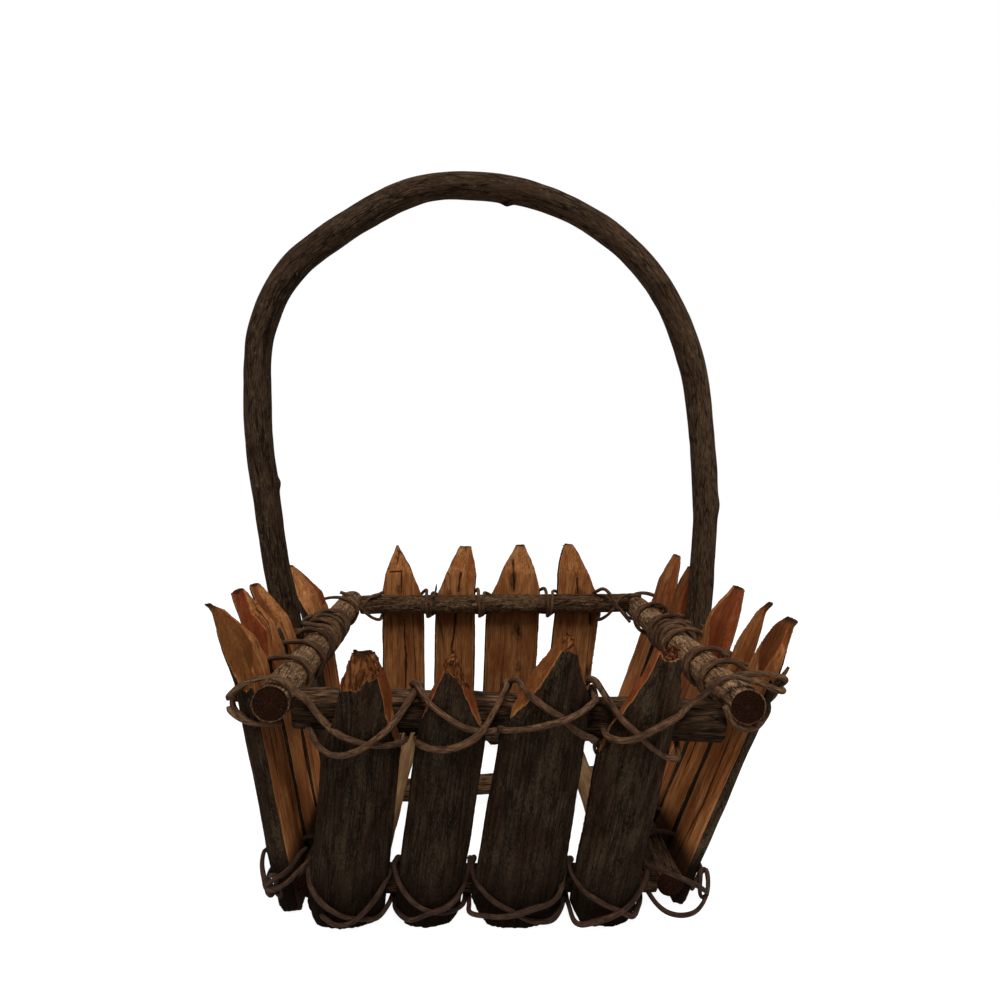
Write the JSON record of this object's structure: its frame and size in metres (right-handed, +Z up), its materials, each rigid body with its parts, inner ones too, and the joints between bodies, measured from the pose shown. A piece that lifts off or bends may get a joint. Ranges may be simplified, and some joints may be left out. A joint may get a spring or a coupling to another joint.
{
  "type": "foraging basket",
  "caption": "Rustic foraging basket of split bark pickets lashed with vine to two branch frames, with a high bent branch handle.",
  "frame": {"origin": "on the floor, under the middle of the basket's bounding box", "axes": "+Z up, +X to the basket's right, along the span of its handle, -Y to its front"},
  "size_m": [0.306, 0.2606, 0.396],
  "materials": {
    "bark": "rough dark bark outside and brown split wood inside",
    "rail_bark": "dull weathered bark with dark sawn ends",
    "split_wood": "dull split wood with fine cracks",
    "vine": "dull dry vine"
  },
  "bodies": {
    "root": {"front_picket_1": "bark", "front_picket_2": "bark", "front_picket_3": "bark", "front_picket_4": "bark", "back_picket_1": "bark", "back_picket_2": "bark", "back_picket_3": "bark", "back_picket_4": "bark", "left_picket_1": "bark", "left_picket_2": "bark", "left_picket_3": "bark", "left_picket_4": "bark", "right_picket_1": "bark", "right_picket_2": "bark", "right_picket_3": "bark", "right_picket_4": "bark", "right_picket_5": "bark", "rim_front_rail": "rail_bark", "rim_back_rail": "rail_bark", "rim_left_rail": "rail_bark", "rim_right_rail": "rail_bark", "base_front_rail": "rail_bark", "base_back_rail": "rail_bark", "base_left_rail": "rail_bark", "base_right_rail": "rail_bark", "floor_cross_stick": "rail_bark", "floor_slat_1": "split_wood", "floor_slat_2": "split_wood", "floor_slat_3": "split_wood", "floor_slat_4": "split_wood", "handle": "rail_bark", "rim_front_vine_a": "vine", "rim_front_vine_b": "vine", "rim_back_vine_a": "vine", "rim_back_vine_b": "vine", "rim_left_vine_a": "vine", "rim_left_vine_b": "vine", "rim_right_vine_a": "vine", "rim_right_vine_b": "vine", "base_front_vine_a": "vine", "base_front_vine_b": "vine", "base_back_vine_a": "vine", "base_back_vine_b": "vine", "base_left_vine_a": "vine", "base_left_vine_b": "vine", "base_right_vine_a": "vine", "base_right_vine_b": "vine"}
  },
  "joints": []
}
